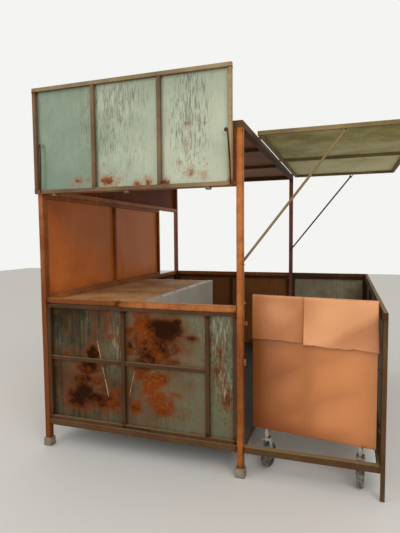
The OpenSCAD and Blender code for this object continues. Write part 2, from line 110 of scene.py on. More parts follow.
def worn_metal(name, colours, spots=0.2, spot_size=90, streaks=0.2, wear=0.25, gloss=0.55,
               metal=0.0, dust=None, soft=0.14, sheen=0.3, even=1.0):
    """Painted or bare steel that rusts: a light and a dark tone of its own, streaked downwards, and
    two of rust where the mesh's marks or the spots' blotches call for it, rough and slightly
    raised. Dust is a colour that lies on the faces that look up, soft how gently the rust sets in,
    and even under one makes the blotches fainter."""
    light, dark, rust_light, rust_dark = colours.split()
    material, tree, shader, place = begin(name)
    pale, rust, edge, weld, deep = [add(tree, "Attribute", out="Fac", attribute_name=mark)
                                    for mark in ("pale", "rust", "edge", "weld", "deep")]
    broad = blotches(tree, place, 320, 3)
    middle = blotches(tree, place, spot_size, 7)
    fine = blotches(tree, place, 11, 5)
    run = blotches(tree, place, 15, 4, (1, 1, 0.06))
    # The pale mark lightens or darkens the tone; some pieces lay painted light and painted shade into
    # it
    tone = weighed(tree, 0.5 - 0.5 * even - 0.5 * streaks, (run, streaks), (broad, 0.7 * even),
                   (fine, 0.3 * even), (pale, 1))
    own = two_tone(tree, tone, 0.22, 0.8, dark, light)
    called = weighed(tree, spots - 1.425, (rust, 1), (edge, wear), (weld, 0.35), (middle, 1.1),
                     (fine, 0.5), (run, 0.25))
    stain = add(tree, "MapRange", [called, -0.1 - soft, 0.3, 0, 0.75], **smooth)
    rusty = add(tree, "MapRange", [called, 0.17 - soft / 2, 0.17 + soft / 2], **smooth)
    depth = weighed(tree, blotches(tree, place, 40, 8), (deep, 1))
    rust_colour = two_tone(tree, depth, 0.3, 0.72, rust_light, rust_dark)
    stained = add(tree, "Mix", {0: stain, 6: own, 7: linear(rust_light)}, 2, **in_colour)
    coloured = add(tree, "Mix", {0: rusty, 6: stained, 7: rust_colour}, 2, **in_colour)
    if dust:
        upward = add(tree, "SeparateXYZ", [add(tree, "TexCoord", out="Normal")], 2)
        settled = add(tree, "MapRange", [weighed(tree, upward, (fine, 1)), 0.9, 1.5, 0, 0.85], **smooth)
        coloured = add(tree, "Mix", {0: settled, 6: coloured, 7: linear(dust)}, 2, **in_colour)
    if metal:
        feed(tree, shader, {"Metallic": add(tree, "MapRange", [rusty, 0, 1, metal, 0], **smooth)})
    height = weighed(tree, 0, (rusty, fine), (fine, 0.3))
    rounded = add(tree, "Bevel", {"Radius": 0.0015}, samples=4)
    raised = {"Strength": 0.5, "Distance": 0.0006, "Height": height, "Normal": rounded}
    feed(tree, shader, {
        "Base Color": coloured,
        "Roughness": add(tree, "MapRange", [rusty, 0, 1, gloss, 0.92], **smooth),
        "Specular IOR Level": add(tree, "MapRange", [rusty, 0, 1, sheen, 0.05], **smooth),
        "Normal": add(tree, "Bump", raised),
    })
    return material


def dress(material, *names):
    """Gives CAD nodes a material."""
    for name in names:
        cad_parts[name].data.materials.clear()
        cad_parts[name].data.materials.append(material)


# Bare tube: a dusty khaki skin over brown rust, dull all over
bare_tube = worn_metal("Mild steel tube, weathered and rusting", "#5f4a2a #362512 #582f13 #2c180b",
    spots=0.38, spot_size=120, wear=0.1, gloss=0.75, dust="#877350", soft=0.3, sheen=0.2)
# Floor plate: trodden steel, nearly black with grime
trodden = worn_metal("Steel floor plate, trodden", "#4a423a #2b2622 #4c2a18 #24140c", spots=0.3,
    gloss=0.6)
# Blocks: cast concrete, pale and grainy
block, tree, shader, place = begin("Cast concrete, dusty")
grain = weighed(tree, blotches(tree, place, 60), (blotches(tree, place, 5, 3), 1))
feed(tree, shader, {
    "Base Color": two_tone(tree, grain, 0.8, 1.25, "#5f5442", "#968871"),
    "Roughness": 0.95,
    "Normal": add(tree, "Bump", {"Strength": 0.6, "Distance": 0.002, "Height": grain}),
})
dress(bare_tube, "side_bay_legs")
dress(trodden, "floor_plate")

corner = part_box("front_left_post")[0]
origin = np.array([corner.x, corner.y, 0])


def in_row(points):
    """Millimetres from the kiosk's front left corner on the ground, as metres in the row frame."""
    return np.asarray(points, float) / 1000 + origin


def kiosk_box(node):
    """A CAD node's lowest and highest corner in millimetres from the kiosk's front left corner."""
    low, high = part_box(node)
    return (np.array(low) - origin) * 1000, (np.array(high) - origin) * 1000


def ticks(stops, cell):
    """Values that pass through every stop, with steps of at most cell between them."""
    stops = np.asarray(stops, float)
    runs = [np.linspace(a, b, max(int(math.ceil((b - a) / cell)), 1), endpoint=False)
            for a, b in zip(stops[:-1], stops[1:])]
    return np.concatenate(runs + [stops[-1:]])


def tube(start, end, across, radius=3.0, seed=1, shares=(0.14, 0.5, 0.86), stops=(), sway=0.5):
    """A square tube from start to end: a rectangle with round corners carried along an axis.
    It sways a little, and each knock pushes one of its flats in, deepest mid-flat. Shares place
    the vertices across each flat, and the rings along it pass through the stops, at most 45 apart."""
    start, end = np.array(start, float), np.array(end, float)
    axis = int(np.argmax(np.abs(end - start)))
    sides = [i for i in range(3) if i != axis]
    angle = np.linspace(0, np.pi / 2, 5) + np.arange(4)[:, None] * np.pi / 2
    centre = (np.array(across) / 2 - radius) * np.array([(1, 1), (-1, 1), (-1, -1), (1, -1)])
    arcs = centre[:, None] + radius * np.stack([np.cos(angle), np.sin(angle)], -1)
    shares = np.array(shares)
    reach = np.roll(arcs[:, 0], -1, 0) - arcs[:, -1]
    flats = arcs[:, -1:] + reach[:, None] * shares[None, :, None]
    ring = np.concatenate([arcs, flats], 1)
    outward = np.stack([np.cos(angle[:, -1]), np.sin(angle[:, -1])], -1)
    edge = np.concatenate([np.ones((4, 5)), np.tile(np.abs(2 * shares - 1) ** 4, (4, 1))], 1)
    length = abs(end[axis] - start[axis])
    along = ticks(sorted([0, *stops, length]), 45)
    points = np.zeros((len(along), ring.shape[0] * ring.shape[1], 3))
    points[..., axis] = (start[axis] + along * np.sign(end[axis] - start[axis]))[:, None]
    flat_part = 1 - edge.ravel()
    random = np.random.default_rng(seed)
    window = np.sin(np.pi * along / length)
    across_ring = ring.reshape(-1, 2)
    for i, side in enumerate(sides):
        drift = sway * window * np.sin(along / random.uniform(90, 240) + random.uniform(0, 6))
        points[..., side] = start[side] + across_ring[:, i] + drift[:, None]
    for _ in range(int(length / 350)):
        face = random.integers(4)
        depth = random.uniform(0.6, 1.8) * np.exp(-((along - random.uniform(0, length)) / 38) ** 2)
        on_face = np.repeat(np.arange(4) == face, ring.shape[1]) * flat_part
        for i, side in enumerate(sides):
            points[..., side] -= outward[face, i] * depth[:, None] * on_face * window[:, None]
    ends = np.exp(-np.minimum(along, length - along) / 28)
    marks = {"edge": np.tile(edge.ravel(), (len(along), 1)),
             "weld": np.tile(ends[:, None], (1, points.shape[1]))}
    return points, marks


def tubes(ends, across, seed, radius=3.0, sway=0.5):
    """A tube between each pair of ends, the seed one higher for each."""
    return [tube(start, end, across, radius, seed + k, sway=sway)
            for k, (start, end) in enumerate(ends)]


def bead(at, axis, across, size=2.6, seed=1):
    """A stick weld round a tube's end: a small round carried round the tube's outline, its size
    rippled once for each dab of the rod."""
    turn = np.linspace(0, 2 * np.pi, 96, endpoint=False)
    wrap = 2 * np.pi * np.arange(8) / 8
    half = np.array(across) / 2 + 0.2
    box = np.stack([np.cos(turn), np.sin(turn)], -1)
    box = box / (np.abs(box) ** 14).sum(1, keepdims=True) ** (1 / 14)
    random = np.random.default_rng(seed)
    dabs = 1 + 0.28 * np.sin(turn * 15 + random.uniform(0, 6)) + 0.18 * random.standard_normal(96)
    thick = size * np.clip(dabs, 0.5, 1.5)
    sides = [i for i in range(3) if i != axis]
    points = np.zeros((96, 8, 3))
    for i, side in enumerate(sides):
        points[..., side] = at[side] + box[:, None, i] * (half[i] + thick[:, None] * np.cos(wrap))
    points[..., axis] = at[axis] + thick[:, None] * np.sin(wrap)
    return points, {"weld": np.ones((96, 8))}


def piece(name, grids, material, nodes=(), body="kiosk_body", slot="rusty_steel", around=False,
          ring=False, ends=False, thick=0, lift=0, place=in_row, keep=None, bevel=0, back=None):
    """One mesh from grids of points with marks at their vertices. around closes each grid along
    its second side, ring along its first too, ends caps it, thick turns it into sheet, and back
    is the material of the sheet's other face."""
    points, faces, marks, start = [], [], {}, 0
    for grid, grid_marks in grids:
        rows, columns = grid.shape[:2]
        index = start + np.arange(rows * columns).reshape(rows, columns)
        if ends:
            faces += [index[0, ::-1].tolist(), index[-1].tolist()]
        if around:
            index = np.hstack([index, index[:, :1]])
        if ring:
            index = np.vstack([index, index[:1]])
        quads = np.stack([index[:-1, :-1], index[:-1, 1:], index[1:, 1:], index[1:, :-1]], -1)
        quads = quads.reshape(-1, 4) if keep is None else quads[keep]
        faces += quads.tolist()
        points.append(grid.reshape(-1, 3))
        for key in grid_marks:
            marks.setdefault(key, []).append((start, grid_marks[key].ravel()))
        start += rows * columns
    mesh = bpy.data.meshes.new(name)
    mesh.from_pydata(place(np.concatenate(points)).tolist(), [], faces)
    for key, runs in marks.items():
        values = np.zeros(start)
        for first, run in runs:
            values[first : first + len(run)] = run
        mesh.attributes.new(key, "FLOAT", "POINT").data.foreach_set("value", values)
    tidy = bmesh.new()
    tidy.from_mesh(mesh)
    loose = [v for v in tidy.verts if not v.link_faces]
    bmesh.ops.delete(tidy, geom=loose, context="VERTS")
    if not thick:
        bmesh.ops.recalc_face_normals(tidy, faces=tidy.faces)
    tidy.to_mesh(mesh)
    tidy.free()
    mesh.shade_smooth()
    made = bpy.data.objects.new(name, mesh)
    scene.collection.objects.link(made)
    mesh.materials.append(material)
    if ends:
        mesh.set_sharp_from_angle(angle=math.radians(50))
    if thick:
        sheet = made.modifiers.new("Sheet", "SOLIDIFY")
        sheet.thickness = thick / 1000
        sheet.offset = lift
        if back:
            mesh.materials.append(back)
            sheet.material_offset = 1
    if bevel:
        soft = made.modifiers.new("Edges", "BEVEL")
        soft.width = bevel / 1000
        soft.segments = 1
        soft.limit_method = "ANGLE"
        soft.angle_limit = math.radians(50)
        soft.harden_normals = True
    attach(made, body)
    if nodes:
        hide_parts(*nodes)


# A bar's grid is closed round and capped at its ends, a bead's closed both ways
capped = {"around": True, "ends": True}
hoop = {"around": True, "ring": True}

# The kiosk is welded from two sizes of square tube
tube_size, bar_size = 40, 25
half_tube, half_bar = tube_size / 2, bar_size / 2
tube_section, bar_section = (tube_size, tube_size), (bar_size, bar_size)
bar_round = 2.5
stall_width = 1440
stall_inside = stall_width - tube_size
far_x, far_y = kiosk_box("base_frame")[1][:2]
rear_y = far_y - half_tube
ring_z = 180
# The side bay stands on angle legs, and its last rail lies a little lower than the ring
leg_size, rail_drop = 25.5, 0.3
last_x, last_z = far_x - half_tube, ring_z - rail_drop
rails = [([tube_size, y, ring_z], [stall_inside, y, ring_z]) for y in (half_tube, rear_y)]
rails += [([x, tube_size, ring_z], [x, far_y - tube_size, ring_z])
          for x in (half_tube, stall_width - half_tube)]
rails += [([stall_width, y, ring_z], [far_x - leg_size, y, ring_z]) for y in (half_tube, rear_y)]
rails += [([last_x, leg_size, last_z], [last_x, far_y - leg_size, last_z])]
runs = tubes(rails, tube_section, 120)
# Three joists of the smaller tube lie flush with the ring's top
joist_z = ring_z + half_tube - half_bar
joist_ys = half_bar + (far_y - bar_size) * np.array([1, 2, 3]) / 4
runs += [tube([tube_size, y, joist_z], [stall_inside, y, joist_z], bar_section, bar_round, 130)
         for y in joist_ys]
piece("base_tubes", runs, bare_tube, ["base_frame"], **capped)
base_beads = [bead([x, y, ring_z], 0, tube_section, 3, 140 + x)
              for x in (tube_size, stall_inside, stall_width) for y in (half_tube, rear_y)]
piece("base_welds", base_beads, bare_tube, **hoop)


def cast_block(at, half, seed):
    """A cast block: a superquadric close to a box, pitted by slow waves, some corners chipped."""
    power, pit, pole = 0.11, 0.012, 0.03
    lift = np.linspace(-np.pi / 2 + pole, np.pi / 2 - pole, 44)[:, None]
    turn = np.linspace(0, 2 * np.pi, 72, endpoint=False)[None, :]
    wide = np.sign(np.cos(lift)) * np.abs(np.cos(lift)) ** power
    x = wide * np.sign(np.cos(turn)) * np.abs(np.cos(turn)) ** power
    y = wide * np.sign(np.sin(turn)) * np.abs(np.sin(turn)) ** power
    z = np.sign(np.sin(lift)) * np.abs(np.sin(lift)) ** power + 0 * turn
    random = np.random.default_rng(seed)
    shrink = 1 - pit * (1 + np.sin(7 * x + random.uniform(0, 6)) * np.sin(9 * y + 8 * z + seed))
    for sign in np.array([(1, 1, 1), (-1, 1, 1), (1, -1, 1), (-1, -1, 1), (1, -1, -1)]):
        near = np.clip((x * sign[0] + y * sign[1] + z * sign[2]) / 3 - 0.8, 0, 1)
        shrink = shrink - random.uniform(0.0, 0.7) * near
    return np.array(at) + half * shrink[..., None] * np.stack([x, y, z], -1), {}


block_half = 30
blocks = [cast_block([x, y, block_half], block_half, int(x + y))
          for x in (half_tube, stall_width - half_tube) for y in (half_tube, rear_y)]
piece("packing_block_casts", blocks, block, ["packing_blocks"], slot="masonry", **capped)

# Posts
# Four square tubes carry the stall from the packing blocks to the roof ring. The front two have
# orange alkyd paint, brushed on and rusting through at the corners; the rear two show primer.

# Orange paint: brushed alkyd, satin, darker where the rust below has soaked through
orange_tube = worn_metal("Orange alkyd paint on tube, rusting", "#b8713a #6c360e #6a340c #381a08",
    spots=0.24, spot_size=60, streaks=0.5, gloss=0.5, dust="#b97f48", soft=0.3, sheen=0.15)
# Rear posts: red-brown primer gone dull
primer = worn_metal("Red oxide primer on tube, dull", "#96604a #6a3e2a #6a381c #341c10", spots=0.3,
    wear=0.3, gloss=0.7)
for i, node in enumerate(["front_left_post", "front_right_post", "rear_left_post", "rear_right_post"]):
    low, high = kiosk_box(node)
    x, y = (low + high)[:2] / 2
    post = tube([x, y, low[2]], [x, y, high[2]], (high - low)[:2], 3.5, 11 + i)
    # Painted shade: the paint is darker below the sill, where shade falls, and darker still on the left
    # posts, which stand in shade
    post[1]["pale"] = np.interp(post[0][..., 2], [60, 900, 1300, 2150], [-0.16, -0.1, 0.16, 0.2])
    post[1]["pale"] -= 0.2 * node.endswith("left_post")
    painted = node.startswith("front")
    piece(node + "_tube", [post], orange_tube if painted else primer, [node],
          slot="orange_paint" if painted else "rusty_steel", **capped)

# Front lower panel
# Galvanised sheet is tacked behind a frame of thin square tube, welded between the posts. The zinc
# has gone, so the sheet rusts in blotches, and years of knocks have left it buckled and scraped.


def buckle(u, v, lines_u, lines_v, seed, depth=3.0):
    """How far a sheet stands off its plane: the sum of five slow waves in random directions,
    nil along the lines where the sheet is welded down."""
    held = np.ones_like(u)
    for side, lines in ((u, lines_u), (v, lines_v)):
        for line in lines:
            held = held * (1 - np.exp(-((side - line) / 60) ** 2))
    random = np.random.default_rng(seed)
    wave = 0
    for _ in range(5):
        angle = random.uniform(0, np.pi)
        pitch = random.uniform(230, 620)
        wave = wave + np.sin((u * np.cos(angle) + v * np.sin(angle)) * 2 * np.pi / pitch
                             + random.uniform(0, 6))
    return depth * held * wave / 2.5


def net(stops_u, stops_v, cell):
    """The two coordinates of a net of points that passes through the stops both ways."""
    return np.meshgrid(ticks(stops_u, cell), ticks(stops_v, cell), indexing="ij")


def oval_rust(u, v, ovals):
    """How strongly each point rusts: the strongest of soft ovals, each given by its centre, its
    half width and half height in millimetres and its strength."""
    table = np.array(ovals, float).T[:, None, :]
    away = ((u.reshape(-1, 1) - table[0]) / table[2]) ** 2
    away = away + ((v.reshape(-1, 1) - table[1]) / table[3]) ** 2
    return (table[4] * np.exp(-0.5 * away)).max(1).reshape(u.shape)


low, high = kiosk_box("front_lower_frame")
bar = high[1] - low[1]
section = (bar, bar)
y = (low[1] + high[1]) / 2
first, second, crossbar = 626.2, 1211.0, 643.0
top_z, bottom_z = high[2] - bar / 2, low[2] + bar / 2
uprights = [low[0] + bar / 2, high[0] - bar / 2, first, second]
bays = [(low[0] + bar, first - bar / 2), (first + bar / 2, second - bar / 2)]
bar_ends = [([low[0], y, top_z], [high[0], y, top_z])]
bar_ends += [([x, y, low[2] + bar], [x, y, high[2] - bar]) for x in uprights]
bar_ends += [([left, y, crossbar], [right, y, crossbar]) for left, right in bays]
bars = tubes(bar_ends, section, 21, bar_round)
# Lower frame: deep brown rust, with a pale dusty skin left on the faces that look up
lower_tube = worn_metal("Steel tube of the lower panel, rusted", "#543d24 #2d1c0d #4c260e #251308",
    spots=0.42, spot_size=110, wear=-0.1, gloss=0.75, dust="#806845", soft=0.3, sheen=0.2)
piece("front_lower_bars", bars, lower_tube, ["front_lower_frame"], **capped)
# The bottom tube has a slot cut in its face, through which its hollow shows
slot_left, slot_right, slot_half = 616 - low[0], 816 - low[0], 7.0
end_steps = np.arange(0, 8.1, 1.6)
slot_stops = np.concatenate([slot_left + end_steps, slot_right - end_steps])
slot_rows = np.array([-slot_half, -5.5, -3.5, -1.5, 1.5, 3.5, 5.5, slot_half])
shares = (slot_rows / (bar / 2 - bar_round) + 1) / 2
run, run_marks = tube([low[0], y, bottom_z], [high[0], y, bottom_z], section, bar_round, 28,
                      shares=shares, stops=slot_stops)
# A face is cut away where it lies inside the slot's outline and on the tube's front
from_left = run[:, 0, 0] - low[0]
ring_y = np.append(run[0, :, 1], run[0, 0, 1]) - y
ring_z = np.append(run[0, :, 2], run[0, 0, 2]) - bottom_z
face_x, face_y, face_z = [(line[:-1] + line[1:]) / 2 for line in (from_left, ring_y, ring_z)]
past = np.maximum(np.maximum(slot_left + slot_half - face_x, face_x - slot_right + slot_half), 0)
inside = past[:, None] ** 2 + face_z ** 2 < slot_half ** 2
slot_open = inside & (face_y < -bar / 2 + 1)
piece("front_lower_slotted_bar", [(run, run_marks)], lower_tube, ["front_lower_frame"], around=True,
      thick=2, lift=-1, keep=~slot_open)
corners = product(sorted(uprights), (low[2] + bar, high[2] - bar))
beads = [bead([x, y, z], 2, section, seed=k) for k, (x, z) in enumerate(corners)]
beads += [bead([x, y, crossbar], 0, section, seed=40 + k)
          for k, x in enumerate([x for bay in bays for x in bay])]
piece("front_lower_welds", beads, bare_tube, **hoop)

# Lower sheet: dull grey-green zinc, paler and streaked to the right, brown where it rusts
lower_zinc = worn_metal("Galvanised sheet of the lower panel, rusting",
    "#646751 #1f1d0b #6e330e #281206", spots=0.1, spot_size=70, streaks=0.4, gloss=0.5, metal=0.2,
    soft=0.5, sheen=0.1)


def lay_over(material, share, colour):
    """Lays a colour over a material where share calls for it."""
    tree = material.node_tree
    surface = tree.nodes["Principled BSDF"].inputs["Base Color"]
    over = {0: share, 6: surface.links[0].from_socket, 7: linear(colour)}
    tree.links.new(add(tree, "Mix", over, 2, **in_colour), surface)


def scrape(material, start, end, width, colour):
    """A light scratch laid over a material: the distances from the line through two points, along
    it and across it on the sheet, each kept within a range and broken up by blotches."""
    tree = material.node_tree
    place = add(tree, "TexCoord", out="Object")
    start, end = Vector(in_row(start)), Vector(in_row(end))
    length = (end - start).length
    along = (end - start).normalized()
    across = along.cross(Vector((0, 1, 0)))
    away = []
    for direction in (along, across):
        reached = add(tree, "VectorMath", [place, list(direction)], "Value", operation="DOT_PRODUCT")
        away.append(weighed(tree, -start.dot(direction), (reached, 1)))
    aside = add(tree, "Math", [away[1]], operation="ABSOLUTE")
    broken = blotches(tree, place, 25, 5)
    line = 1
    for value, low, high in ((aside, width, width / 4), (away[0], 0, 0.03),
                             (away[0], length, length - 0.05), (broken, 0.35, 0.55)):
        within = add(tree, "MapRange", [value, low, high], **smooth)
        line = add(tree, "Math", [line, within], operation="MULTIPLY")
    lay_over(material, line, colour)


def flecks(material, name, size, stretch, low, high, colour, most):
    """Flecks of another colour where the mesh is marked under that name: blotches over a bound
    that sinks as the mark rises."""
    tree = material.node_tree
    mark = add(tree, "Attribute", out="Fac", attribute_name=name)
    speckle = blotches(tree, add(tree, "TexCoord", out="Object"), size, 6, stretch)
    called = add(tree, "MapRange", [weighed(tree, speckle, (mark, 0.12)), low, high, 0, most], **smooth)
    marked = add(tree, "MapRange", [mark, 0, 0.5], **smooth)
    lay_over(material, add(tree, "Math", [called, marked], operation="MULTIPLY"), colour)


flecks(lower_zinc, "crinkled", 18, (1, 1, 0.6), 0.56, 0.66, "#43341f", 0.6)
flecks(lower_zinc, "chalked", 13, (1, 1, 0.16), 0.53, 0.72, "#a0967e", 0.6)
flecks(lower_zinc, "blistered", 17, (1, 1, 0.8), 0.6, 0.7, "#8c5526", 0.55)
scrape(lower_zinc, [419, 29, 791], [504, 29, 379], 0.004, "#a59a80")
scrape(lower_zinc, [702, 29, 599], [654, 29, 405], 0.003, "#b08a5c")
low, high = kiosk_box("front_lower_sheet")
u, v = net([low[0], high[0]], [low[2], high[2]], 10)
lower_ovals = [
    (760, 900, 60, 120, .8), (790, 780, 70, 110, .8), (760, 640, 90, 60, .7), (330, 500, 120, 50, .75),
    (840, 480, 60, 110, .7), (250, 390, 70, 50, .85), (500, 900, 30, 60, .5), (1000, 760, 70, 60, .6),
    (406, 864, 13, 69, .5), (534, 814, 54, 27, .55), (388, 690, 42, 55, .9), (176, 674, 33, 20, .6),
    (351, 578, 73, 42, .95), (301, 417, 71, 76, 1), (402, 380, 122, 36, .9), (490, 357, 104, 48, .9),
    (258, 336, 64, 39, .9), (421, 484, 25, 16, .6), (557, 419, 43, 36, .6), (789, 906, 43, 94, .85),
    (879, 855, 111, 84, 1), (949, 896, 88, 57, 1), (837, 739, 105, 90, .95), (664, 865, 38, 38, .7),
    (666, 746, 34, 53, .75), (1104, 840, 46, 22, .75), (961, 671, 59, 21, .8),
    (1004, 936, 39, 26, .9), (715, 811, 31, 48, .6), (752, 566, 62, 35, .7), (854, 547, 86, 52, .85),
    (862, 429, 81, 59, .82), (897, 366, 62, 43, .85), (700, 349, 38, 43, .85), (978, 465, 41, 17, .6),
    (1017, 455, 33, 13, .55), (644, 429, 21, 54, .6), (947, 391, 30, 40, .7), (792, 493, 41, 58, .75),
    (1228, 826, 20, 18, .6), (1290, 760, 18, 38, .7), (1269, 633, 29, 42, .6), (1307, 582, 18, 25, .6),
    (1333, 476, 27, 56, .8), (880, 640, 230, 330, .28), (330, 480, 220, 170, .2)]
deep_ovals = [(301, 417, 110, 70, .35), (949, 896, 90, 60, .5), (879, 800, 90, 60, .2),
              (370, 650, 70, 60, .3), (780, 700, 60, 40, .3), (1100, 840, 50, 30, .3)]
bright_ovals = [(862, 429, 120, 110, .3), (837, 739, 60, 90, .2), (740, 880, 70, 60, .2)]
stand_off = buckle(u, v, [low[0], first, second, high[0]], [low[2], crossbar, high[2]], 5)
sheet_marks = {
    "rust": oval_rust(u, v, lower_ovals),
    "deep": oval_rust(u, v, deep_ovals) - oval_rust(u, v, bright_ovals),
    "pale": 0.26 * np.clip((u - 560) / 620, -0.6, 1) - 0.13 * np.clip((v - 700) / 300, 0, 1),
}
fleck_ovals = {
    "crinkled": [(1300, 640, 60, 230, .9), (1220, 760, 40, 120, .6), (680, 760, 40, 200, .5),
                 (930, 330, 120, 60, .4)],
    "blistered": [(850, 560, 70, 50, .8), (840, 470, 60, 70, .9), (900, 380, 50, 40, .7),
                  (700, 650, 40, 60, .5), (950, 450, 70, 20, .7), (760, 820, 60, 80, .5),
                  (440, 480, 60, 30, .5), (1290, 720, 30, 90, .4)],
    "chalked": [(1300, 900, 90, 120, .75), (1320, 560, 60, 100, .6), (1120, 930, 60, 60, .3),
                (560, 760, 40, 160, .5)],
}
sheet_marks |= {name: oval_rust(u, v, ovals) for name, ovals in fleck_ovals.items()}
sheet_y = (low[1] + high[1]) / 2
# All the kiosk's sheet is 1.2 mm thick, its edges broken by 0.3 mm
sheet_steel = {"thick": 1.2, "bevel": 0.3}
piece("front_lower_zinc", [(np.stack([u, sheet_y + stand_off, v], -1), sheet_marks)], lower_zinc,
      ["front_lower_sheet"], slot="zinc_sheet", **sheet_steel)

# Left, rear and side bay panels
# The same frames and sheet close the left side, the back and the side bay. Nobody paints these
# walls outside, so they stay grey zinc with rust creeping in from the floor and the tacks.


def flat_sheet(name, node, material, normal, lines_u=(), lines_v=(), seed=1, depth=3.0, cell=22,
               foot=0.0, pale=(0, 0, 0, 0), back=None, body="kiosk_body", slot="zinc_sheet"):
    """A sheet that stands off its plane in shallow buckles between the lines where it is fixed.
    Foot is how strongly it rusts along its lower edge and its fixings, and pale its paleness at
    the start and the end of its first side and then of its second."""
    low, high = kiosk_box(node)
    across = [i for i in range(3) if i != normal]
    (left, foot_z), (right, top) = low[across], high[across]
    u, v = net([left, right], [foot_z, top], cell)
    held_u = [left, *lines_u, right]
    points = np.zeros(u.shape + (3,))
    points[..., across[0]] = u
    points[..., across[1]] = v
    points[..., normal] = (low[normal] + high[normal]) / 2
    points[..., normal] += buckle(u, v, held_u, [foot_z, *lines_v, top], seed, depth)
    rust = np.exp(-(v - foot_z) / 70)
    for line in held_u:
        rust = np.maximum(rust, 0.6 * np.exp(-((u - line) / 16) ** 2))
    marks = {"pale": np.interp(u, [left, right], pale[:2]) + np.interp(v, [foot_z, top], pale[2:]),
             "rust": foot * rust}
    piece(name, [(points, marks)], material, [node], body, slot, back=back, **sheet_steel)


# Wall sheet: grey zinc outside, grime and brown rust along the foot
wall_zinc = worn_metal("Galvanised wall sheet, weathered", "#a69d86 #766b53 #73401c #3a1f12",
    spots=0.2, spot_size=130, streaks=0.4, gloss=0.5, metal=0.2, soft=0.3)
low, high = kiosk_box("left_lower_sheet")
thirds = low[1] + (high[1] - low[1]) * np.array([1, 2]) / 3
for k, side in enumerate(("left_lower", "bay_side")):
    flat_sheet(side + "_zinc", side + "_sheet", wall_zinc, 0, thirds, seed=31 + k, foot=0.6)
# The rear wall's two sheets: behind the stall the inner face has browned with rust
brown_zinc = worn_metal("Galvanised wall sheet, browned with rust",
    "#9a6a3a #654222 #86491e #482810", spots=0.3, spot_size=160, streaks=0.4, gloss=0.6, soft=0.4,
    sheen=0.1)
low, high = kiosk_box("rear_lower_sheet")
walls = (("rear_stall_zinc", [low[0], stall_width / 2, stall_inside], brown_zinc),
         ("rear_bay_zinc", [stall_width, high[0]], wall_zinc))
for k, (name, held, inner) in enumerate(walls):
    u, v = net([held[0], held[-1]], [low[2], high[2]], 22)
    stand_off = buckle(u, v, held, [low[2], high[2]], 36 + k)
    points = np.stack([u, (low[1] + high[1]) / 2 + stand_off, v], -1)
    piece(name, [(points, {"rust": 0.5 * np.exp(-(v - low[2]) / 70)})], wall_zinc,
          ["rear_lower_sheet"], slot="zinc_sheet", back=inner, **sheet_steel)
dress(lower_tube, "left_lower_frame", "rear_lower_frame", "bay_side_frame")

# Sill
# A ring of orange tube caps the lower panels. At the front a thinner offcut was let in on the left
# and butt welded to the full tube, which leaves a step and a gap.

sill_z, offcut = 1040, 32
joint_left, joint_right = 590, 594
offcut_z = sill_z + (tube_size - offcut) / 2
side_end = far_y - tube_size
sill_ends = [([joint_right, half_tube, sill_z], [stall_inside, half_tube, sill_z]),
             ([half_tube, tube_size, sill_z], [half_tube, side_end, sill_z]),
             ([tube_size, rear_y, sill_z], [stall_inside, rear_y, sill_z])]
runs = [tube([tube_size, half_tube, offcut_z], [joint_left, half_tube, offcut_z],
             (tube_size, offcut), seed=50)] + tubes(sill_ends, tube_section, 51)
for points, run_marks in runs[:2]:
    run_marks["pale"] = np.interp(points[..., 0], [tube_size, 592, joint_right, stall_inside],
                                  [-0.26, -0.18, -0.08, 0.08])
piece("sill_tubes", runs, orange_tube, ["sill_rails"], slot="orange_paint", **capped)
sill_beads = [bead([x, half_tube, sill_z], 0, tube_section, 3, 60 + k)
              for k, x in enumerate([tube_size, joint_right, stall_inside])]
sill_beads += [bead([half_tube, y, sill_z], 1, tube_section, 3, 64 + k)
               for k, y in enumerate([tube_size, side_end])]
piece("sill_welds", sill_beads, bare_tube, **hoop)

# The bay's rim was never painted, and its side is the smaller tube set on edge
rim_x = far_x - half_bar
rim_runs = [tube([stall_width, rear_y, sill_z], [far_x, rear_y, sill_z], tube_section, seed=58),
            tube([rim_x, 0, sill_z], [rim_x, side_end, sill_z], (bar_size, tube_size), seed=59)]
piece("bay_rim_tubes", rim_runs, bare_tube, ["sill_rails"], **capped)

# Left upper panel
# A painted sheet on the same tube frame closes the left side above the sill and stops short of the
# rear post. Its inner face is orange too, streaked with grime and bare at the frame.

# Orange sheet: the same paint over a broad face, blotched and streaked
orange_sheet = worn_metal("Orange alkyd paint on sheet, glossy", "#d67a33 #a4541c #7e3e14 #42200e",
    spots=0.04, spot_size=110, streaks=0.15, gloss=0.32, soft=0.3, sheen=0.1, even=0.6)
low, high = kiosk_box("left_upper_sheet")
# Painted light: the skin is paler towards the rear, standing in for light that reaches the inside there
flat_sheet("left_upper_skin", "left_upper_sheet", orange_sheet, 0, [(low[1] + high[1]) / 2],
           seed=33, foot=0.35, pale=(-0.04, 0.34, 0, 0), slot="orange_paint")
dress(orange_tube, "left_upper_frame")

# Header, fascia and roof
# Orange header rails cross the front and the left at the flap's foot. Maroon sheet fills the band
# above them, and a plain zinc sheet lies on the roof ring.

header_z = 1795
header_ends = [([tube_size, half_tube, header_z], [stall_inside, half_tube, header_z]),
               ([half_tube, tube_size, header_z], [half_tube, side_end, header_z])]
runs = tubes(header_ends, tube_section, 70)
# Painted light: the left rail is paler, as if lit from below
runs[1][1]["pale"] = np.full(runs[1][0].shape[:2], 0.25)
piece("header_tubes", runs, orange_tube, ["header_rails"], slot="orange_paint", **capped)
# Fascia: maroon paint, chalky
maroon = worn_metal("Maroon paint, chalky", "#884824 #5a2a12 #5c2c10 #2e160a", spots=0.2,
    streaks=0.3, gloss=0.6, sheen=0.1)
dress(maroon, "fascia_sheets")
dress(bare_tube, "roof_frame")
roof_joists = kiosk_box("roof_sheet")[1][1] * np.array([1, 2]) / 3
flat_sheet("roof_zinc", "roof_sheet", brown_zinc, 2, (), roof_joists, seed=34, depth=2.0, cell=40,
           back=wall_zinc)

# Serving flap
# The flap is a frame of three bays with a galvanised sheet behind it, hinged on pins along the
# header and standing straight up. Rust has broken out in the corners and where stickers were.

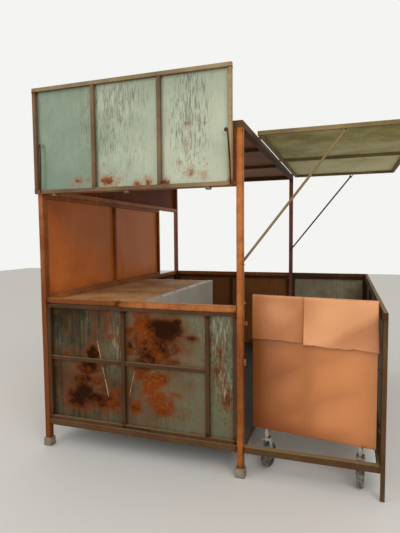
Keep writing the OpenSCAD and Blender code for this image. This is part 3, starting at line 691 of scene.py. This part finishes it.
flap_low, flap_high = kiosk_box("flap_sheet")
bar_low, bar_high = kiosk_box("flap_frame")
bay_width = 460
flap_bars = [bar_low[0] + bay_width, bar_low[0] + 2 * bay_width]
# Flap sheet: pale grey-green zinc with dark runs of dirt
flap_zinc = worn_metal("Galvanised sheet of the flap, smeared", "#afb39c #687866 #8a4c24 #56301a",
    spots=0.0, spot_size=26, streaks=0.14, gloss=0.4, metal=0.2, soft=0.3, even=0.6)
# Under the drips the sheet has turned dark grey, and along the foot it is freckled with rust
flecks(flap_zinc, "dripped", 8, (1, 1, 0.12), 0.54, 0.68, "#54584a", 0.65)
flecks(flap_zinc, "freckled", 11, (1, 1, 0.45), 0.64, 0.72, "#7e5434", 0.75)
u, v = net([flap_low[0], flap_high[0]], [flap_low[2], flap_high[2]], 10)
flap_ovals = [
    (329, 1855, 33, 23, .8), (405, 1856, 17, 18, .7), (273, 1824, 31, 11, .6), (368, 2038, 17, 13, .45),
    (559, 1844, 62, 38, .85), (762, 1814, 36, 23, .8), (837, 1826, 29, 32, .8), (525, 1946, 9, 20, .6),
    (705, 1935, 7, 18, .55), (585, 2059, 14, 18, .5), (957, 1816, 30, 26, .8), (1101, 2156, 38, 15, .6),
    (1161, 2190, 16, 17, .55), (1211, 2148, 16, 12, .5), (1053, 1928, 19, 17, .6),
    (1121, 1864, 23, 27, .8), (1080, 1866, 14, 12, .6), (1203, 1847, 27, 25, .7),
    (1322, 1789, 52, 12, .8), (1100, 2035, 31, 51, .45)]
stand_off = buckle(u, v, [flap_low[0], *flap_bars, flap_high[0]], [flap_low[2], flap_high[2]], 8)
fleck_ovals = {
    "dripped": [(640, 2330, 130, 120, .9), (560, 2180, 70, 200, .7), (1110, 2160, 90, 190, .9),
                (1130, 2400, 90, 90, .8), (420, 2220, 60, 170, .6), (720, 2050, 130, 120, .35)],
    "freckled": [(560, 1850, 120, 50, .7), (1140, 1880, 120, 90, .7), (800, 1830, 110, 40, .6),
                 (330, 1830, 70, 30, .6), (1120, 2160, 70, 70, .6)],
}
flap_marks = {name: oval_rust(u, v, ovals) for name, ovals in fleck_ovals.items()}
flap_marks["rust"] = 0.9 * oval_rust(u, v, flap_ovals)
flap_marks["pale"] = (np.interp(u, [0, 440, 480, 900, 940, 1383], [-.17, -.14, -.02, .04, .1, .14])
                      - 0.14 * np.clip((2120 - v) / 300, 0, 1) * np.clip((700 - u) / 500, 0, 1))
flap_y = (flap_low[1] + flap_high[1]) / 2
piece("flap_zinc", [(np.stack([u, flap_y + stand_off, v], -1), flap_marks)], flap_zinc,
      ["flap_sheet"], body="flap", slot="zinc_sheet", **sheet_steel)
# Flap frame: red-brown rust over old paint, khaki where the paint is left
flap_tube = worn_metal("Steel tube of the flap, rusted", "#9b8a66 #574636 #6e4222 #3e2412",
    spots=0.3, wear=0.1, gloss=0.7, dust="#a39a78", soft=0.35, sheen=0.2)
left, right = bar_low[0] + half_bar, bar_high[0] - half_bar
bottom, top = flap_low[2] + half_bar, flap_high[2] - half_bar
y = (bar_low[1] + bar_high[1]) / 2
uprights = [left, *flap_bars, right]
rail_ends = [([bar_low[0], y, z], [bar_high[0], y, z]) for z in (bottom, top)]
upright_ends = [([x, y, bottom + half_bar], [x, y, top - half_bar]) for x in uprights]
runs = tubes(rail_ends, bar_section, 80, bar_round, 0) + tubes(upright_ends, bar_section, 82, bar_round)
# The frame is paler to the right, and the top bar is the palest and the least rusty
for points, run_marks in runs:
    on_top = points[..., 2] > top - half_bar
    run_marks["pale"] = np.interp(points[..., 0], [0, 900, 1340, 1360], [-0.15, -0.1, 0.1, 0.4])
    run_marks["pale"] += 0.12 * on_top
    run_marks["rust"] = -0.2 * on_top
piece("flap_tubes", runs, flap_tube, ["flap_frame"], body="flap", **capped)
corners = product(uprights, (bottom + half_bar, top - half_bar))
flap_beads = [bead([x, y, z], 2, bar_section, 2.4, 90 + k) for k, (x, z) in enumerate(corners)]
piece("flap_welds", flap_beads, flap_tube, body="flap", **hoop)


def eye(at, radius, hole, root, thick):
    """A plate across X with a hole at its rounded end: at each angle about the hole the section
    goes out along one face to the outline, over its rounded rim and back to the hole's wall. The
    outline is a circle that runs out into a strip as wide as the circle and root long."""
    angle = np.linspace(0, 2 * np.pi, 64, endpoint=False)[:, None]
    cosine, sine = np.cos(angle), np.sin(angle)
    strip = np.minimum(radius / np.maximum(np.abs(cosine), 1e-6), root / np.maximum(sine, 1e-6))
    outline = np.where(sine > 0, np.maximum(strip, radius), radius)
    soft, half = 0.8, thick / 2
    reach = np.concatenate([np.full((64, 1), hole), outline - soft, outline, outline, outline - soft,
                            np.full((64, 1), hole)], 1)
    points = np.zeros((64, 6, 3))
    points[..., 0] = at[0] + np.array([-half, -half, soft - half, half - soft, half, half])
    points[..., 1] = at[1] + reach * cosine
    points[..., 2] = at[2] + reach * sine
    return points, {"edge": np.tile([0.0, 0, 1, 1, 0, 0], (64, 1))}


# Three eyes under the bottom bar turn on the hinge pins
eye_radius, pin_hole = 7, 4.5
eyes = [eye([bar_low[0] + x, y, bar_low[2] + eye_radius], eye_radius, pin_hole, 11, 16)
        for x in (150, 690, 1230)]
piece("flap_eyes", eyes, flap_tube, ["flap_frame"], body="flap", **hoop)
dress(flap_tube, "flap_hinges")


def bent_bar(path, wide, deep):
    """A bar with round edges: an ellipse, wide in the plane across Y and deep along Y, carried
    along a path that stays near that plane."""
    path = np.array(path, float)
    ahead = np.gradient(path, axis=0)
    side = np.cross(ahead, [0, 1, 0])
    side = side / np.linalg.norm(side, axis=1, keepdims=True)
    up = np.cross(side, ahead)
    up = up / np.linalg.norm(up, axis=1, keepdims=True)
    turn = np.linspace(0, 2 * np.pi, 14, endpoint=False)[None, :, None]
    points = path[:, None] + wide * np.cos(turn) * side[:, None] + deep * np.sin(turn) * up[:, None]
    return points, {"rust": np.full(points.shape[:2], 0.6), "deep": np.full(points.shape[:2], 0.2)}


def turned(at, profile, axis=2):
    """A piece turned on a lathe: a closed profile of radii and heights carried round an axis."""
    turn = np.linspace(0, 2 * np.pi, 40, endpoint=False)
    radius, height = np.array(profile, float).T[:, :, None]
    points = np.zeros((len(profile), 40, 3))
    first_side, second_side = [i for i in range(3) if i != axis]
    points[..., first_side] = at[first_side] + radius * np.cos(turn)
    points[..., second_side] = at[second_side] + radius * np.sin(turn)
    points[..., axis] = at[axis] + height
    return points, {}


# Two stay bars lie folded against the outer uprights, each bent into an eye round its bolt
low, high = kiosk_box("flap_stays")
stay_wide, stay_deep, loop_radius = 4.5, 2.5, 8.0
stay_y, bolt_z = high[1] - stay_deep, low[2] + 316
bolt = [(0.5, 2.3), (3.6, 2.3), (3.6, -4), (7, -4), (7, -5), (5.4, -8.2), (0.5, -9.4)]
share = np.linspace(0, 1, 30)[:, None]
angle = np.linspace(0.15, 5.6, 30)
stay_bars, stay_bolts = [], []
for foot_x, bolt_x in ((flap_low[0] + 48, flap_low[0] + 49), (flap_high[0] - 7, flap_high[0] - 33)):
    start = np.array([foot_x, stay_y, low[2] + 3])
    reached = np.array([bolt_x + loop_radius, stay_y, bolt_z])
    shaft = start + share * (reached - start) + 3 * np.sin(np.pi * share) * [1, 0, 0]
    loop = np.stack([bolt_x + loop_radius * np.cos(angle), stay_y - 1.2 * angle / 5.6,
                     bolt_z + loop_radius * np.sin(angle)], -1)
    stay_bars.append(bent_bar(np.concatenate([shaft, loop]), stay_wide, stay_deep))
    stay_bolts.append(turned([bolt_x, stay_y, bolt_z], bolt, 1))
piece("flap_stay_bars", stay_bars, flap_tube, ["flap_stays"], body="flap", **capped)
piece("flap_stay_bolts", stay_bolts, bare_tube, ["flap_stays"], body="flap", **hoop)

# Side shutter
# The shutter is a frame with sheet on top, propped level over the side bay by two rods. Its
# underside is dusty zinc with an olive tone of painted yellow light, its bars bare steel.

# Shutter sheet: dusty zinc with an olive tone of painted yellow light
shutter_zinc = worn_metal("Galvanised sheet of the shutter, olive painted light",
    "#d8d3a4 #7f741c #6e4c22 #3e2a14", spots=0.05, spot_size=120, streaks=0.1, gloss=0.6,
    sheen=0.06)
low, high = kiosk_box("shutter_sheet")
# Painted light: the underside is darker towards the front and paler towards the rear, a painted
# highlight there
flat_sheet("shutter_zinc", "shutter_sheet", shutter_zinc, 2, (), [(low[1] + high[1]) / 2],
           seed=35, pale=(0, 0, -0.14, 0.3), back=wall_zinc, body="shutter")
# Shutter bars: khaki dust over rust
shutter_tube = worn_metal("Steel tube of the shutter, dusty", "#907c52 #62512e #6e4a24 #3a2616",
    spots=0.25, wear=0.1, gloss=0.75)
dress(shutter_tube, "shutter_frame", "shutter_hinges", "near_prop")
dress(trodden, "far_prop")

# Hinge arms, brackets and hasp
# Cut from flat bar and welded to the posts, they took the same brush of orange paint.

dress(orange_tube, "post_brackets")
dress(bare_tube, "gate_hinges")

# Inner counter
# A board counter stands inside on a tube frame. A folded steel strip is bolted along its edge, and
# a grey sheet closes the side that faces the bay.

# Counter board: khaki particle board, scuffed and pale
board, tree, shader, place = begin("Particle board, scuffed")
chips = blotches(tree, place, 5, 4, (1, 0.5, 1))
grime = weighed(tree, blotches(tree, place, 260), (chips, 1))
feed(tree, shader, {"Base Color": two_tone(tree, grime, 0.75, 1.2, "#a06c38", "#d8aa72"),
                    "Roughness": 0.7})
# Strip and side: light grey paint on steel
grey_paint = worn_metal("Grey enamel on sheet, scratched", "#cdc7ba #a49c8c #7a4a2a #40261a",
    spots=0.08, spot_size=60, streaks=0.1, gloss=0.4, soft=0.3, even=0.6)
dress(board, "counter_top")
dress(grey_paint, "counter_edge_strip", "counter_side_sheet")


def dome(at, radius, height):
    """A round bolt head: a low dome over a short wall, turned about the upright."""
    turn = np.linspace(0, 2 * np.pi, 20, endpoint=False)
    rise_angle = np.linspace(0, np.pi / 2 - 0.05, 6)
    reach = np.concatenate([[radius], radius * np.cos(rise_angle)])[:, None]
    level = np.concatenate([[0], 0.25 * height + 0.75 * height * np.sin(rise_angle)])[:, None]
    points = np.stack([at[0] + reach * np.cos(turn), at[1] + reach * np.sin(turn),
                       at[2] + level + 0 * turn], -1)
    return points, {"edge": np.tile((level / height > 0.6).astype(float), (1, 20))}


# Coach bolts along the strip
low, high = kiosk_box("counter_edge_strip")
bolts = [dome([high[0] - 26, y, high[2] - 0.2], 9, 4.5)
         for y in np.linspace(low[1] + 120, high[1] - 120, 6)]
piece("counter_bolts", bolts, bare_tube, **capped)
dress(bare_tube, "counter_frame")

# Gate
# The gate's sheet hangs on the side bay's front corner and stands ajar. Two aprons hang over it
# from the top edge, their lower edges curling off, and it rolls on two castors.

# Gate sheet: orange paint, smooth and clean below the aprons, its light tone painted light as from the
# front right
gate_paint = worn_metal("Orange paint on the gate, with painted light", "#cc8450 #82461d #7a4018 #40200f",
    spots=0.0, spot_size=60, streaks=0.04, gloss=0.35, soft=0.3, even=0.22)
# Aprons: the same paint, made lighter as painted light on the gate's top
apron_paint = worn_metal("Orange paint on the aprons, with painted highlight", "#dd9c6c #a05f30 #8a4a1e #48240f",
    spots=0.0, spot_size=60, streaks=0.04, gloss=0.4, soft=0.3, even=0.25)


def on_gate(points):
    """Millimetres in the gate's own frame, its hinge line the origin and its sheet towards -X, as
    metres in the row frame: the gate stands eight degrees ajar."""
    hinge_x, hinge_y, turn = 2158, 98, math.radians(-8)
    x = hinge_x + points[:, 0] * math.cos(turn) - points[:, 1] * math.sin(turn)
    y = hinge_y + points[:, 0] * math.sin(turn) + points[:, 1] * math.cos(turn)
    return in_row(np.stack([x, y, points[:, 2]], -1))


# The sheet is tacked to the frame behind it and bulges forward between the tacks
gate_left, gate_right, gate_foot, gate_top = -700, 40, 255, 1110
frame_right, middle_x, tack_z = -12, -356, 838
u, v = net([gate_left, gate_right], [gate_foot, gate_top], 12)
bulge = np.abs(buckle(u, v, [gate_left, middle_x, frame_right], [gate_foot, tack_z, gate_top], 45, 4.0))
bulge = bulge * np.clip((1000 - v) / 150, 0, 1)
points = np.stack([u, -13.4 - bulge, v], -1)
# Painted light: the sheet is darker to the left and paler to the right, paler where it bulges forward,
# and darker along the bottom, where shade falls
gate_marks = {"pale": np.interp(u, [gate_left, -500, -250, gate_right], [-0.22, -0.1, 0.06, 0.2])
              + 0.03 * bulge - 0.1 * np.clip((360 - v) / 100, 0, 1),
              "rust": 0.5 * np.exp(-(v - gate_foot) / 9) + 0.3 * np.exp(-(u - gate_left) / 8)}
piece("gate_skin", [(points, gate_marks)], gate_paint, ["gate_panel"], body="gate",
      slot="orange_paint", place=on_gate, **sheet_steel)


def apron(x0, x1, height, lean, flare, pale, seed):
    """A sheet folded back over the gate's top edge and hanging down in front of it. It leans out
    from the fold, waves more and more towards its lower edge, and flares at its right corner."""
    hem_end, bend_end, bend_radius = -16.7, -4.7, 3
    fold_y, fold_z = -11.9, 1107.9
    u, s = np.meshgrid(ticks([x0, x1], 9), ticks([hem_end, bend_end, 0, height], 6), indexing="ij")
    down = np.clip(s, 0, None)
    share = down / height
    bend = np.clip((s - bend_end) / -bend_end, 0, 1) * np.pi / 2
    flat = np.clip(bend_end - s, 0, None)
    corner = np.clip((u - x1 + 110) / 110, 0, 1) ** 2 * share ** 2
    wave = buckle(u, down, [], [0], seed, 3.2) * share ** 0.7
    out = down * math.sin(math.radians(lean)) + np.minimum(wave, 3) + 3 * share ** 8 + flare * corner
    y = fold_y - bend_radius * np.sin(bend) + flat - out
    z = fold_z + bend_radius * np.cos(bend) - down * math.cos(math.radians(lean))
    z = z + share ** 4 * (2.5 * np.sin(u / 41 + seed) + 1.5 * np.sin(u / 17))
    x = u + 0.45 * flare * corner - 1.5 * share * np.sin(down / 60)
    # Painted light: a painted highlight near the top, along the fold and on the buckles' crests, and
    # painted shade at the flared corner, along the right edge and over the lower right; the pale ramps
    # given at the calls paint light across each apron
    lit = np.exp(-((u - x0 - 0.35 * (x1 - x0)) / 90) ** 2 - ((down - 90) / 90) ** 2)
    shaded = np.clip(0.94 * (u - x0) / (x1 - x0) + share - 1.12, 0, 0.22)
    painted_highlight = np.interp(u, [x0, x1], pale) + 0.05 * wave + 0.16 * lit + 0.2 * np.exp(-np.abs(s) / 7)
    painted_shade = 0.12 * corner + 0.16 * np.exp(-(x1 - u) / 10) + (0.3 + flare / 33) * shaded
    rust = 0.75 * np.exp(-(height - down) / 5) + 0.3 * np.exp(-np.abs(s) / 4)
    return np.stack([x, y, z], -1), {"pale": painted_highlight - painted_shade, "rust": rust}


for name, grid in (("left_apron_skin", apron(-702, -378, 275, 1.0, 0, (-0.22, -0.05), 46)),
                   ("right_apron_skin", apron(-376, 40, 285, 3.2, 20, (0.0, 0.26), 47))):
    piece(name, [grid], apron_paint, ["gate_aprons"], body="gate", slot="orange_paint",
          place=on_gate, **sheet_steel)

# Its frame is the smaller tube, and two sleeves on the right stile turn on the hinge pins
frame_y, cross_z = -0.3, 825
stiles = [gate_left + half_bar, middle_x, frame_right - half_bar]
gate_rails = [(gate_left, frame_right, gate_foot + half_bar),
              (gate_left, frame_right, gate_top - half_bar),
              (stiles[0], middle_x - half_bar, cross_z), (middle_x + half_bar, stiles[2], cross_z)]
gate_ends = [([x0, frame_y, z], [x1, frame_y, z]) for x0, x1, z in gate_rails]
gate_ends += [([x, frame_y, gate_foot + bar_size], [x, frame_y, gate_top - bar_size])
              for x in stiles]
runs = tubes(gate_ends, bar_section, 100, bar_round)
sleeve_zs = (400, 740)
webs = [tube([frame_right - 1, 0, z], [-7.5, 0, z], (8, 38), 2, sway=0) for z in sleeve_zs]
piece("gate_tubes", runs + webs, bare_tube, ["gate_frame"], body="gate", place=on_gate, **capped)
sleeve = [(5.5, -20), (8.2, -20), (9, -19.2), (9, 19.2), (8.2, 20), (5.5, 20)]
piece("gate_sleeves", [turned([0, 0, z], sleeve) for z in sleeve_zs], bare_tube, ["gate_frame"],
      body="gate", place=on_gate, **hoop)

# Castors
# Two castors carry the gate: pressed, zinc plated forks on swivels, with hard rubber wheels worn
# grey. Each is welded to the bottom rail by a plate and a stub of tube.

# Fork: bright zinc plating, scratched
plated = worn_metal("Zinc plated pressing, scratched", "#c9c8be #96948a #7a5a3a #40301f",
    spots=0.14, spot_size=30, gloss=0.4, metal=0.35)
dress(plated, "left_castor_fork", "right_castor_fork")
# Plates and stubs are brushed over with zinc paint
castor_xs, plate_z, plate_thick = (-45, -610), 200, 4
stems = [tube([x, frame_y, plate_z], [x, frame_y, gate_foot + 1], bar_section, bar_round, 110, sway=0)
         for x in castor_xs]
plates = [tube([x, frame_y, plate_z - plate_thick], [x, frame_y, plate_z], (44, 44), 5, 111, sway=0)
          for x in castor_xs]
piece("castor_stems", stems + plates, plated, ["gate_frame"], body="gate", place=on_gate, **capped)
pin = [(0.5, 0), (6.2, 0), (7, 0.8), (7, 15), (0.5, 15)]
piece("castor_pins", [turned([x, frame_y, 182], pin) for x in castor_xs], plated, ["gate_frame"],
      body="gate", place=on_gate, **hoop)
# Wheel: grey rubber, dusty
rubber, tree, shader, place = begin("Castor rubber, dusty")
worn = blotches(tree, place, 30, 5)
feed(tree, shader, {"Base Color": two_tone(tree, worn, 0.4, 0.7, "#46423c", "#8a8478"),
                    "Roughness": 0.85})
dress(rubber, "left_castor_wheel", "right_castor_wheel")

# Studio
# A plain pale floor and a white backdrop in soft light. The camera stands where the photo was
# taken from, as fitted to the corners of the posts, sill, flap, shutter and gate.

floor_mesh = bpy.data.meshes.new("studio_floor")
reach = 14.0
floor_mesh.from_pydata([(-reach, -reach, 0), (reach, -reach, 0), (reach, reach, 0), (-reach, reach, 0)],
                       [], [(0, 1, 2, 3)])
floor = bpy.data.objects.new("studio_floor", floor_mesh)
scene.collection.objects.link(floor)
pale_floor, tree, shader, place = begin("Studio floor, pale")
feed(tree, shader, {"Base Color": linear("#d8d6d2"), "Roughness": 0.8})
floor_mesh.materials.append(pale_floor)

world = bpy.data.worlds.new("Studio")
scene.world = world
world.use_nodes = True
tree = world.node_tree
seen = 0
for ray in ("Is Camera Ray", "Is Glossy Ray", "Is Transmission Ray"):
    seen = add(tree, "Math", [seen, add(tree, "LightPath", out=ray)], operation="MAXIMUM")
backdrop = {0: seen, 6: linear("#dcdad6"), 7: linear("#f4f4f2")}
feed(tree, tree.nodes["Background"], [add(tree, "Mix", backdrop, 2, **in_colour), 1.0])


def lamp(name, place, aim, size, power):
    """A soft square lamp that shines from place towards aim."""
    light = bpy.data.lights.new(name, "AREA")
    light.size = size
    light.energy = power
    made = bpy.data.objects.new(name, light)
    made.location = place
    made.rotation_euler = (Vector(aim) - Vector(place)).to_track_quat("-Z", "Y").to_euler()
    scene.collection.objects.link(made)


lamp("key_light", (3.5, -6.0, 5.5), (0.3, -0.8, 1.0), 4.0, 190)
lamp("fill_light", (-3.5, -6.5, 2.0), (-0.2, 0.5, 1.2), 4.0, 110)

# Camera: the photo's own place, turned left, tipped down and rolled a little
yaw, pitch, roll = math.radians(18.483), math.radians(3.924), math.radians(0.4605)
ahead = Vector((-math.sin(yaw) * math.cos(pitch), math.cos(yaw) * math.cos(pitch), -math.sin(pitch)))
right = Vector((math.cos(yaw), math.sin(yaw), 0))
down = ahead.cross(right)
right_rolled = right * math.cos(roll) + down * math.sin(roll)
down_rolled = down * math.cos(roll) - right * math.sin(roll)
lens = bpy.data.cameras.new("photo_camera")
lens.lens = 29.634
lens.sensor_width = 36
camera = bpy.data.objects.new("photo_camera", lens)
turn = Matrix((right_rolled, -down_rolled, -ahead)).transposed().to_4x4()
camera.matrix_world = Matrix.Translation(Vector(in_row([2020, -2536, 1480]))) @ turn
scene.collection.objects.link(camera)
scene.camera = camera

scene.view_settings.view_transform = "Standard"
